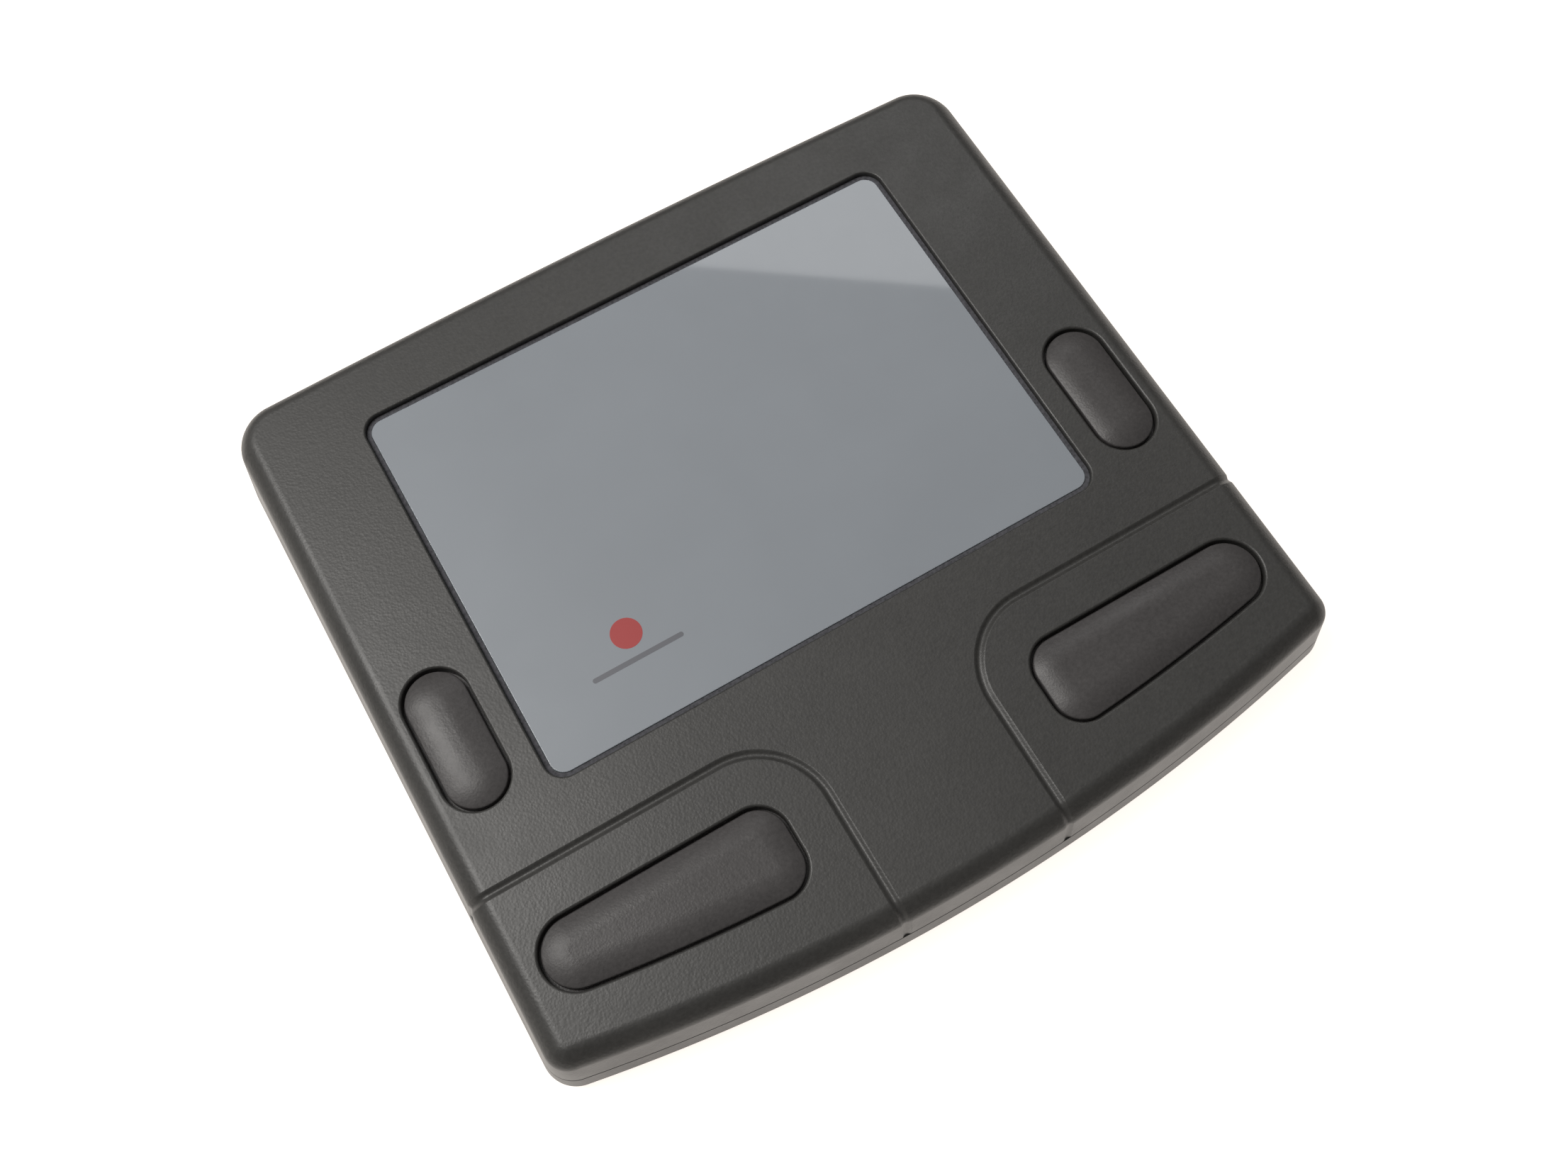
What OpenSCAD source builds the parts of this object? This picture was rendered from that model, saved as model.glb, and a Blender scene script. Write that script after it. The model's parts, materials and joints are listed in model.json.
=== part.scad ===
// Desktop touchpad: a flat two-part case, a recessed touch surface and four keys that press down.
// Millimetres. +X is to the user's right, +Y is away from the user, +Z is up, and z = 0 is the table.

/* [Case] */
// Width at the foot of the leaning side walls
case_w = 125.6; // [125:0.2:127]
// Depth from the foot of the front bow to the rear bow
case_d = 114.8; // [114.6:0.2:116]
// Height of the top face above the table
case_top = 12.6; // [12.6:0.1:13]
// Height of the underside above the table
case_base = 1; // [0.8:0.1:1.2]
// Height of the joint between the two shells
part_line = 5; // [4.8:0.1:5.2]
// Shadow gap between the two shells
reveal = 0.15; // [0.1:0.05:0.3]
// Wall thickness of both shells
wall = 1.8; // [1.6:0.1:2]
// Bow radius of the front edge
front_bow = 295; // [280:5:320]
// Bow radius of the rear edge
rear_bow = 2100; // [1500:100:3000]
// Radius of the front corners in plan, at the foot
front_corner = 5; // [4.5:0.5:6]
// Radius of the rear corners in plan, at the foot
rear_corner = 8.2; // [7.6:0.2:9]
// Lean of the side and front walls, in degrees
lean = 9; // [8:0.5:10]
// Rounding of the top edge
edge_round = 2.5; // [2.2:0.1:2.7]
// Rounding of the lower edge
base_round = 1; // [0.6:0.1:1.2]

/* [Touch surface] */
// Width of the grey touch surface
pad_w = 86.5; // [84:0.5:87]
// Depth of the grey touch surface
pad_d = 61.2; // [58:0.2:62]
// Distance of its centre behind the middle of the case
pad_y = 15.2; // [14.8:0.1:15.6]
// Depth of its face below the top face
pad_sink = 0.7; // [0.5:0.1:0.9]
// Dark gap between its edge and the window
pad_gap = 0.75; // [0.5:0.05:1]
// Corner radius of the touch surface
pad_corner = 2.2; // [1.5:0.1:3]

/* [Keys] */
// Travel of each key
travel = 0.5; // [0.3:0.05:0.6]
// Clearance between a key and its opening
key_gap = 0.5; // [0.4:0.05:0.6]
// Width of a side key's opening
side_key_w = 9.7; // [9:0.1:10]
// Length of a side key's opening
side_key_d = 21.7; // [20:0.1:22]
// Distance of a side key from the middle plane
side_key_x = 52.6; // [52.4:0.1:52.8]
// Bow radius of a front key's front side
key_bow = 280; // [260:5:290]
// Place of a side key along the depth
side_key_y = -3.7; // [-4.5:0.1:-3]
// Height of a key's crown above its rim
crown = 0.6; // [0.4:0.1:0.8]

/* [Moulded grooves] */
// Width of the groove round each front key's field
groove_w = 1.5; // [1.2:0.1:1.8]
// Depth of the groove
groove_deep = 0.55; // [0.4:0.05:0.7]
// Distance of the fore-and-aft groove from the middle plane
groove_x = 12.9; // [12:0.1:14]
// Place of the cross groove along the depth
groove_y = -24.9; // [-25.5:0.1:-24.5]
// Radius of the bend between the two
groove_bend = 11; // [10:0.5:12]

/* [Hidden] */
$fn = 48;
skin = 0.01;                              // thickness of one layer in a hull
corner_steps = 8;                         // segments in a corner arc
bow_steps = 10;                           // segments in a bow
round_steps = 7;                          // layers in a rounded edge
land = 0.3;                               // upright strip on each side of the joint
half_w = case_w / 2;
rear_y = case_d / 2 + 0.2;                // rear wall at the middle plane
front_y = rear_y - case_d;                // foot of the front wall at the middle plane
roof_under = case_top - wall;             // underside of the roof
floor_top = case_base + wall;             // inner face of the floor
pad_face = case_top - pad_sink;
film_t = 0.3;                             // overlay film
glue_t = 0.1;                             // adhesive sheet
board_t = 1.2;                            // both circuit boards
sensor_top = pad_face - film_t - glue_t;  // top of the sensor board
sensor_low = sensor_top - board_t;
sensor_half_w = 45.9;
sensor_half_d = 34.6;
tab_half_w = 8;                           // tab that carries the socket
tab_end = 55;
key_board_low = 4.2;
key_board_top = key_board_low + board_t;
flange_grow = 0.75;                       // flange beyond the opening
flange_top = roof_under - 0.05;
flange_low = flange_top - 0.9;
switch_size = 6;
switch_top = flange_low - 0.1 - 0.8;      // face of the switch cover
plunger_r = 1.75;
plunger_top = flange_low - 0.1;
switch_bore = plunger_r + 0.1;
switch_floor = key_board_top + 0.8;
front_key_x = 38.2;                       // switch under a front key
front_key_y = -38.2;
peg_r = 1.2;                              // guide pegs of the keys
case_screw_at = [[53, 48.5], [-53, 48.5], [14.5, -47.6], [-14.5, -47.6]];
board_screw_at = [[51.6, 9.8], [-51.6, 9.8], [31, -29.4], [-31, -29.4]];
foot_at = [[47, 41], [-47, 41], [51, -39], [-51, -39]];
foot_r = 5;
foot_sink = 0.6;
pillar_at = [[30, 2], [-30, 2], [30, 30], [-30, 30], [0, 16]];
pillar_top = 9.2;
locator_at = [[30, pad_y + 33], [-30, pad_y + 33], [30, pad_y - 33], [-30, pad_y - 33]];
socket_w = 7.7;                           // mini socket, metal shell
socket_h = 3.9;
socket_l = 9.2;
socket_top = sensor_low;
socket_mouth = rear_y - 0.5;
socket_metal = 0.3;
label_size = [52, 26];
label_y = 8;
ribbon_y0 = -29;                          // lower ribbon socket
ribbon_y1 = -13.5;                        // upper ribbon socket
case_grey = [0.23, 0.23, 0.22];
key_grey = [0.24, 0.24, 0.23];
board_green = [0.08, 0.3, 0.16];
steel = [0.75, 0.75, 0.76];
black_plastic = [0.08, 0.08, 0.08];

// ---- outlines ----

// Points of an arc from angle a0 to a1.
function arc(c, r, a0, a1, n) =
    [for (k = [0:n]) let (a = a0 + (a1 - a0) * k / n) [c[0] + r * cos(a), c[1] + r * sin(a)]];

// Points strictly inside an arc.
function inner_arc(c, r, a0, a1, n) =
    [for (k = [1:n - 1]) let (a = a0 + (a1 - a0) * k / n) [c[0] + r * cos(a), c[1] + r * sin(a)]];

// Case outline at the foot, moved in by separate distances at the sides, front and rear.
function case_outline(in_side, in_front, in_rear) =
    let (xs = half_w - in_side,
         rf = front_bow - in_front,
         rr = rear_bow - in_rear,
         cf = max(front_corner - in_side, 1),
         cr = max(rear_corner - in_side, 1),
         yf = front_bow + front_y,
         yr = rear_y - rear_bow,
         xf = xs - cf,
         xr = xs - cr,
         af = asin(xf / (rf - cf)),
         ar = asin(xr / (rr - cr)),
         cyf = yf - sqrt(pow(rf - cf, 2) - pow(xf, 2)),
         cyr = yr + sqrt(pow(rr - cr, 2) - pow(xr, 2)))
    concat(
        arc([xf, cyf], cf, af - 90, 0, corner_steps),
        arc([xr, cyr], cr, 0, 90 - ar, corner_steps),
        inner_arc([0, yr], rr, 90 - ar, 90 + ar, bow_steps),
        arc([-xr, cyr], cr, 90 + ar, 180, corner_steps),
        arc([-xf, cyf], cf, 180, 270 - af, corner_steps),
        inner_arc([0, yf], rf, 270 - af, 270 + af, bow_steps));

// How far a rounded edge of radius r has drawn in, at a distance t below (or above) its flat.
function drawn_in(t, r) = t >= r ? 0 : r - sqrt(r * r - pow(r - t, 2));

// How far a leaning wall stands in from its foot, at height z.
function leant_in(z) = (z - case_base) * tan(lean);

// How far the edge of the top face stands in from the foot of a leaning wall.
face_in = leant_in(case_top) + edge_round * tan(45 - lean / 2);

// Inside outline of both shells, moved in by a further distance.
function cavity(more) =
    case_outline(wall + 1.35 + more, wall + 1.5 + more, wall + 0.2 + more);

// Rounded rectangle about a centre.
function round_rect(w, d, r, at = [0, 0]) =
    let (x = w / 2 - r, y = d / 2 - r)
    concat(
        arc([at[0] + x, at[1] - y], r, -90, 0, corner_steps),
        arc([at[0] + x, at[1] + y], r, 0, 90, corner_steps),
        arc([at[0] - x, at[1] + y], r, 90, 180, corner_steps),
        arc([at[0] - x, at[1] - y], r, 180, 270, corner_steps));

// Centre of the arc of radius r that takes in two circles and touches both from inside.
function bow_centre(c1, r1, c2, r2, r) =
    let (run = c2 - c1,
         d = norm(run),
         u = run / d,
         along = (pow(r - r1, 2) - pow(r - r2, 2) + d * d) / (2 * d),
         out = sqrt(pow(r - r1, 2) - along * along))
    c1 + along * u + out * [-u[1], u[0]];

function bearing(from, to) = atan2(to[1] - from[1], to[0] - from[0]);

// Outline of the left front key's opening: a straight rear side, a bowed front side.
function front_key_outline(grow) =
    let (outer_c = [-51.4, -37.1], outer_r = 5.15,
         rear_c = [-24.2, -36.55], front_c = [-24.2, -40.75], inner_r = 4.6,
         bow_c = bow_centre(outer_c, outer_r, front_c, inner_r, key_bow),
         a0 = bearing(bow_c, outer_c) + 360,
         a1 = bearing(bow_c, front_c) + 360)
    concat(
        arc(rear_c, inner_r + grow, 0, 90, corner_steps),
        arc(outer_c, outer_r + grow, 90, a0, 2 * corner_steps),
        inner_arc(bow_c, key_bow + grow, a0, a1, 4),
        arc(front_c, inner_r + grow, a1, 360, corner_steps));

// Outline of the left side key's opening.
function side_key_outline(grow) =
    round_rect(side_key_w + 2 * grow, side_key_d + 2 * grow,
               side_key_w / 2 + grow - 0.01, [-side_key_x, side_key_y]);

// ---- shared solids ----

module slab(points, low, high) {
    translate([0, 0, low]) linear_extrude(high - low) polygon(points);
}

module layer(points, z) {
    slab(points, z, z + skin);
}

module both_sides() {
    children();
    mirror([1, 0, 0]) children();
}

// Rounded mass of the top shell, before it is hollowed.
module top_mass() {
    low = part_line + reveal;
    hull() {
        for (k = [0:round_steps]) {
            a = (90 - lean) * k / round_steps;
            t = edge_round * (1 - cos(a));
            layer(case_outline(face_in - edge_round * sin(a), face_in - edge_round * sin(a),
                               drawn_in(t, edge_round)), case_top - t - skin);
        }
        slab(case_outline(leant_in(low), leant_in(low), 0), low, low + land);
    }
}

// Rounded mass of the bottom shell, before it is hollowed.
module bottom_mass() {
    in_top = leant_in(part_line);
    hull() {
        for (k = [0:3]) {
            t = base_round * (1 - cos(90 * k / 4));
            r = drawn_in(t, base_round);
            in = r + leant_in(case_base + t);
            layer(case_outline(in, in, r), case_base + t);
        }
        slab(case_outline(in_top, in_top, 0), part_line - land, part_line);
    }
}

// The groove's section: x across the groove, y out of the surface.
module groove_section() {
    polygon([[-0.8 * groove_w, 0.6 * groove_deep], [0, -groove_deep],
             [0.8 * groove_w, 0.6 * groove_deep]]);
}

// The same groove over the rounded top edge and down the leaning wall that faces +X, in two
// straight cuts; the origin is at the centre of the rounding.
module groove_down_wall() {
    height = (case_top - edge_round - part_line) / cos(lean) + 0.5;
    rotate([0, -45 - lean / 2, 0])
        translate([edge_round, 0, -1.3]) linear_extrude(2.6) rotate(-90) groove_section();
    rotate([0, -lean, 0])
        translate([edge_round, 0, -height]) linear_extrude(height + 0.9) rotate(-90) groove_section();
}

// Cutter for the right-hand groove, from the side wall to the front wall.
module groove_cutter() {
    side_at = half_w - face_in;
    front_at = front_bow + front_y - sqrt(pow(front_bow - face_in, 2) - pow(groove_x, 2));
    past = 1.1;
    // along the top, from beyond the side to the bend
    translate([groove_x + groove_bend, groove_y, case_top])
        rotate([90, 0, 90]) linear_extrude(side_at + past - groove_x - groove_bend)
            groove_section();
    translate([groove_x + groove_bend, groove_y - groove_bend, case_top])
        rotate([0, 0, 90]) rotate_extrude(angle = 90) translate([groove_bend, 0]) groove_section();
    // along the top, from the bend to beyond the front
    translate([groove_x, groove_y - groove_bend, case_top])
        rotate([90, 0, 0]) linear_extrude(groove_y - groove_bend - front_at + past) groove_section();
    translate([side_at, groove_y, case_top - edge_round]) groove_down_wall();
    translate([groove_x, front_at, case_top - edge_round]) rotate([0, 0, -90]) groove_down_wall();
}

// ---- case ----

module top_shell() {
    boss_r = 2.6;
    boss_low = part_line + 0.3;
    pilot_r = 1.25;
    color(case_grey) difference() {
        union() {
            difference() {
                top_mass();
                slab(cavity(0), part_line - 1, roof_under);
            }
            for (at = case_screw_at)
                translate([at[0], at[1], boss_low]) cylinder(r = boss_r, h = roof_under - boss_low + 0.2);
        }
        // window, and the pocket that seats the sensor board
        slab(round_rect(pad_w + 2 * pad_gap, pad_d + 2 * pad_gap, pad_corner + pad_gap, [0, pad_y]),
             roof_under - 1, case_top + 1);
        translate([-sensor_half_w - 0.2, pad_y - sensor_half_d - 0.2, roof_under - 1])
            cube([2 * sensor_half_w + 0.4, 2 * sensor_half_d + 0.4, sensor_top - roof_under + 1]);
        translate([-tab_half_w - 0.3, pad_y, roof_under - 1])
            cube([2 * tab_half_w + 0.6, tab_end + 0.2 - pad_y, sensor_top - roof_under + 1]);
        // key openings
        slab(front_key_outline(0), roof_under - 1, case_top + 1);
        slab(side_key_outline(0), roof_under - 1, case_top + 1);
        mirror([1, 0, 0]) slab(front_key_outline(0), roof_under - 1, case_top + 1);
        mirror([1, 0, 0]) slab(side_key_outline(0), roof_under - 1, case_top + 1);
        groove_cutter();
        mirror([1, 0, 0]) groove_cutter();
        // cut-out for the socket in the rear wall
        translate([-socket_w / 2 - 0.3, rear_y - 5, socket_top - socket_h - 0.3])
            cube([socket_w + 0.6, 8, socket_h + 0.6]);
        for (at = case_screw_at)
            translate([at[0], at[1], boss_low - 1]) cylinder(r = pilot_r, h = 6);
    }
    // pegs that place the sensor board
    color(case_grey) for (at = locator_at)
        translate([at[0], at[1], sensor_low - 0.8]) cylinder(r = 1, h = sensor_top - sensor_low + 0.9);
}

module bottom_shell() {
    lip_t = 1;
    lip_up = 1.3;
    boss_r = 3.4;
    color(case_grey) difference() {
        union() {
            difference() {
                bottom_mass();
                slab(cavity(0), floor_top, part_line + 1);
            }
            // lip that centres the top shell
            difference() {
                union() {
                    slab(cavity(0.15), part_line - 1.2, part_line + lip_up);
                    slab(cavity(-0.3), part_line - 1.2, part_line - 0.4);
                }
                slab(cavity(0.15 + lip_t), part_line - 2, part_line + lip_up + 1);
            }
            for (at = case_screw_at)
                translate([at[0], at[1], floor_top - 0.1]) cylinder(r = boss_r, h = part_line + 0.2 - floor_top + 0.1);
            for (at = board_screw_at)
                translate([at[0], at[1], floor_top - 0.1]) cylinder(r = 2.4, h = key_board_low - floor_top + 0.1);
            for (at = pillar_at)
                translate([at[0], at[1], floor_top - 0.1]) cylinder(r = 2.5, h = pillar_top - floor_top + 0.1);
            // ribs that stiffen the floor between the pillars
            for (y = [2, 30])
                translate([-30, y - 0.5, floor_top - 0.1]) cube([60, 1, 1.6]);
            for (x = [-30, 30])
                translate([x - 0.5, 2, floor_top - 0.1]) cube([1, 28, 1.6]);
        }
        for (at = case_screw_at) {
            translate([at[0], at[1], case_base - 1]) cylinder(r = 2.5, h = 3);
            translate([at[0], at[1], case_base]) cylinder(r = 1.4, h = 6);
        }
        for (at = board_screw_at)
            translate([at[0], at[1], case_base + 0.8]) cylinder(r = 1, h = 4);
        for (at = foot_at)
            translate([at[0], at[1], case_base - 1]) cylinder(r = foot_r + 0.15, h = 1 + foot_sink);
        slab(round_rect(label_size[0] + 0.6, label_size[1] + 0.6, 2, [0, label_y]),
             case_base - 1, case_base + 0.25);
    }
}

module case_screws() {
    head_r = 2.3;
    head_low = case_base + 0.5;
    seat = case_base + 2;
    color(steel) for (at = case_screw_at) translate([at[0], at[1], 0]) {
        difference() {
            union() {
                translate([0, 0, head_low]) cylinder(r = head_r, h = seat - head_low - 0.02);
                translate([0, 0, seat - 0.1]) cylinder(r = 1.2, h = 6.5);
            }
            cross_slot(head_low);
        }
    }
}

// Cross recess in a screw's head, cut upwards from z.
module cross_slot(z) {
    for (turn = [0, 90])
        rotate(turn) translate([-1.4, -0.3, z - 0.5]) cube([2.8, 0.6, 1.4]);
}

module board_screws() {
    color(steel) for (at = board_screw_at) translate([at[0], at[1], 0]) {
        difference() {
            union() {
                translate([0, 0, key_board_top + 0.02]) cylinder(r = 1.9, h = 1.2);
                translate([0, 0, case_base + 1]) cylinder(r = 0.95, h = key_board_top - case_base - 0.9);
            }
            translate([0, 0, key_board_top + 0.7]) for (turn = [0, 90])
                rotate(turn) translate([-1.2, -0.25, 0]) cube([2.4, 0.5, 1]);
        }
    }
}

module rubber_feet() {
    color(black_plastic) for (at = foot_at) translate([at[0], at[1], 0]) {
        cylinder(r1 = foot_r - 0.4, r2 = foot_r, h = 0.4);
        translate([0, 0, 0.4]) cylinder(r = foot_r, h = case_base + foot_sink - 0.4);
    }
}

module label_plate() {
    color([0.75, 0.76, 0.77])
        slab(round_rect(label_size[0], label_size[1], 1.7, [0, label_y]),
             case_base + 0.05, case_base + 0.23);
}

// ---- touch surface and its board ----

module pad_overlay() {
    color([0.57, 0.58, 0.6])
        slab(round_rect(pad_w, pad_d, pad_corner, [0, pad_y]), pad_face - film_t, pad_face);
}

// Soft ring that keeps dust out of the gap round the touch surface.
module pad_gasket() {
    color(black_plastic) difference() {
        slab(round_rect(pad_w + 2 * pad_gap - 0.1, pad_d + 2 * pad_gap - 0.1,
                        pad_corner + pad_gap - 0.05, [0, pad_y]), sensor_top, sensor_top + 0.25);
        slab(round_rect(pad_w + 0.1, pad_d + 0.1, pad_corner + 0.05, [0, pad_y]),
             sensor_top - 1, sensor_top + 1);
    }
}

module overlay_adhesive() {
    color([0.9, 0.9, 0.85])
        slab(round_rect(pad_w - 0.6, pad_d - 0.6, pad_corner - 0.3, [0, pad_y]),
             sensor_top, sensor_top + glue_t);
}

module sensor_board() {
    color(board_green) difference() {
        union() {
            translate([-sensor_half_w, pad_y - sensor_half_d, sensor_low])
                cube([2 * sensor_half_w, 2 * sensor_half_d, board_t]);
            translate([-tab_half_w, pad_y, sensor_low]) cube([2 * tab_half_w, tab_end - pad_y, board_t]);
        }
        for (at = locator_at)
            translate([at[0], at[1], sensor_low - 1]) cylinder(r = 1.1, h = board_t + 2);
    }
}

chip_at = [-12, 8];
chip_size = 10;
chip_low = sensor_low - 1.5;

module controller_chip() {
    color(black_plastic) translate([chip_at[0] - chip_size / 2, chip_at[1] - chip_size / 2, chip_low])
        cube([chip_size, chip_size, 1.4]);
}

// Gull-wing leads, eleven a side.
module controller_leads() {
    pitch = 0.8;
    color(steel) translate([chip_at[0], chip_at[1], 0])
        for (side = [0:3], k = [-5:5])
            rotate(90 * side) translate([chip_size / 2, k * pitch - 0.15, 0]) {
                translate([0, 0, chip_low + 0.6]) cube([0.5, 0.3, 0.15]);
                translate([0.35, 0, chip_low + 0.6]) cube([0.15, 0.3, 0.9]);
                translate([0.35, 0, sensor_low - 0.15]) cube([0.75, 0.3, 0.15]);
            }
}

module crystal_can() {
    color(steel) slab(round_rect(11, 4.6, 2.2, [10, 22]), sensor_low - 3.5, sensor_low);
}

module board_capacitors() {
    color([0.55, 0.42, 0.3]) for (at = [[-4, 20], [-4, 24], [-20, 2], [-20, 14], [3, 4], [8, 4]])
        translate([at[0] - 1, at[1] - 0.6, sensor_low - 0.9]) cube([2, 1.2, 0.9]);
}

module board_resistors() {
    color(black_plastic) for (k = [0:7])
        translate([-24 + 3 * k, -6, sensor_low - 0.5]) cube([0.8, 1.6, 0.5]);
}

// Section of the socket's shell: full width at the top, shoulders below.
function socket_section(grow) =
    let (w = socket_w / 2 + grow, top = socket_top + grow, low = socket_top - socket_h - grow)
    [[-w, top], [-w, top - 1.9 - grow], [-w + 0.7, low], [w - 0.7, low], [w, top - 1.9 - grow], [w, top]];

module usb_shell() {
    color(steel) difference() {
        translate([0, socket_mouth, 0]) rotate([90, 0, 0])
            linear_extrude(socket_l) polygon(socket_section(0));
        translate([0, socket_mouth + 1, 0]) rotate([90, 0, 0])
            linear_extrude(socket_l + 1 - socket_metal) polygon(socket_section(-socket_metal));
    }
}

tongue_low = socket_top - 2.3;

module usb_tongue() {
    color(black_plastic) {
        translate([-2.6, socket_mouth - 7.6, tongue_low]) cube([5.2, 6.4, 0.9]);
        translate([-2.9, socket_mouth - 8.8, socket_top - 3.2]) cube([5.8, 1.4, 2.8]);
    }
}

module usb_contacts() {
    color([0.85, 0.7, 0.35]) for (k = [-2:2])
        translate([0.8 * k - 0.2, socket_mouth - 7.4, tongue_low - 0.16]) cube([0.4, 6, 0.15]);
}

// ---- ribbon between the two boards ----

// Middle line of the ribbon: out of one socket, over in an S, into the other.
function ribbon_line() =
    let (y0 = ribbon_y0 + 1.85, y1 = ribbon_y1 - 1.85, z0 = key_board_top + 1, z1 = sensor_low - 1)
    [for (k = [0:12]) let (s = k / 12) [y0 + (y1 - y0) * s, z0 + (z1 - z0) * (1 - cos(180 * s)) / 2]];

module ribbon_cable() {
    line = ribbon_line();
    t = 0.15;
    color([0.85, 0.83, 0.75]) translate([-5, 0, 0]) rotate([90, 0, 90]) linear_extrude(10)
        polygon(concat([for (p = line) [p[0], p[1] + t]],
                       [for (k = [len(line) - 1:-1:0]) [line[k][0], line[k][1] - t]]));
}

module ribbon_socket(y, low) {
    color([0.93, 0.92, 0.88]) translate([-7, y - 1.8, low]) cube([14, 3.6, 2]);
}

module ribbon_socket_upper() ribbon_socket(ribbon_y1, sensor_low - 2);
module ribbon_socket_lower() ribbon_socket(ribbon_y0, key_board_top);

// ---- key board and switches ----

switch_at = [[front_key_x, front_key_y], [-front_key_x, front_key_y],
             [side_key_x, side_key_y], [-side_key_x, side_key_y]];
front_pegs = [[-50.6, -37.2], [-26.2, -38.4]];
side_pegs = [[-side_key_x, side_key_y + 7.4], [-side_key_x, side_key_y - 7.4]];

module key_board() {
    arm_in = 45.6;
    arm_end = 12.8;
    out = 56.6;
    color(board_green) difference() {
        slab([[-out, -43.9], [out, -43.9], [out, arm_end], [arm_in, arm_end], [arm_in, -26.4],
              [-arm_in, -26.4], [-arm_in, arm_end], [-out, arm_end]], key_board_low, key_board_top);
        both_sides() for (at = concat(front_pegs, side_pegs))
            translate([at[0], at[1], key_board_low - 1]) cylinder(r = peg_r + 0.2, h = board_t + 2);
        for (at = board_screw_at)
            translate([at[0], at[1], key_board_low - 1]) cylinder(r = 1.15, h = board_t + 2);
    }
}

module switch_bases() {
    color(black_plastic) for (at = switch_at) translate([at[0], at[1], 0]) difference() {
        translate([-switch_size / 2, -switch_size / 2, key_board_top])
            cube([switch_size, switch_size, switch_top - 0.3 - key_board_top]);
        translate([0, 0, switch_floor]) cylinder(r = 2.4, h = 10);
    }
}

module switch_covers() {
    color(steel) for (at = switch_at) translate([at[0], at[1], 0]) difference() {
        translate([-switch_size / 2, -switch_size / 2, switch_top - 0.3])
            cube([switch_size, switch_size, 0.3]);
        translate([0, 0, switch_top - 1]) cylinder(r = switch_bore, h = 2);
    }
}

module switch_terminals() {
    color(steel) for (at = switch_at, sx = [-1, 1], sy = [-1, 1])
        translate([at[0] + 3.15 * sx - 0.15, at[1] + 2.25 * sy - 0.35, key_board_top])
            cube([0.3, 0.7, 1.6]);
}

// Snap dome under plunger k: a shallow disc that clicks and pushes back.
module snap_dome(k) {
    at = switch_at[k];
    dome_r = 2.2;
    rise = 0.6;
    t = 0.12;
    ball = (pow(dome_r, 2) + pow(rise, 2)) / (2 * rise);
    color(steel) translate([at[0], at[1], switch_floor + rise - ball]) rotate_extrude() difference() {
        intersection() {
            circle(r = ball);
            translate([0, ball - rise]) square([dome_r, rise]);
        }
        circle(r = ball - t);
    }
}

// Plunger k: a flanged button that the cover holds in.
module plunger(k) {
    at = switch_at[k];
    low = switch_floor + 0.62;
    color([0.75, 0.72, 0.65]) translate([at[0], at[1], 0]) {
        translate([0, 0, low]) cylinder(r = plunger_r, h = plunger_top - low);
        translate([0, 0, switch_top - 1.2]) cylinder(r = 2.2, h = 0.8);
    }
}

// ---- keys ----

// What stands under a key: a nub on the plunger, and pegs that run in holes in the key board.
module key_legs(nub, pegs) {
    peg_low = floor_top + 0.9;
    translate([nub[0], nub[1], plunger_top + 0.05]) cylinder(r = 1.2, h = 0.5);
    for (at = pegs)
        translate([at[0], at[1], peg_low]) cylinder(r = peg_r, h = flange_low + 0.1 - peg_low);
}

// Key with a crowned cap and a flange that stops it under the roof.
module key_cap(shape) {
    steps = 5;
    rim = case_top - 0.1;
    reach = side_key_w / 2 - key_gap - 0.6;
    slab(shape == "side" ? side_key_outline(flange_grow) : front_key_outline(flange_grow),
         flange_low, flange_top);
    hull() {
        layer(cap_outline(shape, 0), flange_top - 0.1);
        for (k = [0:steps])
            layer(cap_outline(shape, reach * (1 - cos(90 * k / steps))),
                  rim + crown * sin(90 * k / steps));
    }
}

function cap_outline(shape, inset) =
    shape == "side" ? side_key_outline(-key_gap - inset) : front_key_outline(-key_gap - inset);

module key_side_left() {
    color(key_grey) {
        key_cap("side");
        key_legs([-side_key_x, side_key_y], side_pegs);
    }
}

module key_side_right() {
    mirror([1, 0, 0]) key_side_left();
}

module key_front_left() {
    color(key_grey) {
        key_cap("front");
        key_legs([-front_key_x, front_key_y], front_pegs);
    }
}

module key_front_right() {
    mirror([1, 0, 0]) key_front_left();
}

// Soft pads that press the sensor board up against the roof.
module foam_pads() {
    color([0.2, 0.2, 0.22]) for (at = pillar_at)
        translate([at[0], at[1], pillar_top]) cylinder(r = 2.4, h = sensor_low - pillar_top);
}

top_shell();
bottom_shell();
pad_overlay();
pad_gasket();
overlay_adhesive();
sensor_board();
controller_chip();
controller_leads();
crystal_can();
board_capacitors();
board_resistors();
usb_shell();
usb_tongue();
usb_contacts();
ribbon_cable();
ribbon_socket_upper();
ribbon_socket_lower();
key_board();
switch_bases();
switch_covers();
switch_terminals();
snap_dome(0);  // dome_front_right
snap_dome(1);  // dome_front_left
snap_dome(2);  // dome_side_right
snap_dome(3);  // dome_side_left
plunger(0);  // plunger_front_right
plunger(1);  // plunger_front_left
plunger(2);  // plunger_side_right
plunger(3);  // plunger_side_left
key_front_left();
key_front_right();
key_side_left();
key_side_right();
case_screws();
board_screws();
foam_pads();
label_plate();
rubber_feet();
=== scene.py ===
"""Looks for the desktop touchpad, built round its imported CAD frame. Lengths are in millimetres
inside the helpers and become metres when a mesh is made."""

import json
import math

import bmesh
import bpy
from mathutils import Matrix, Vector


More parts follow.
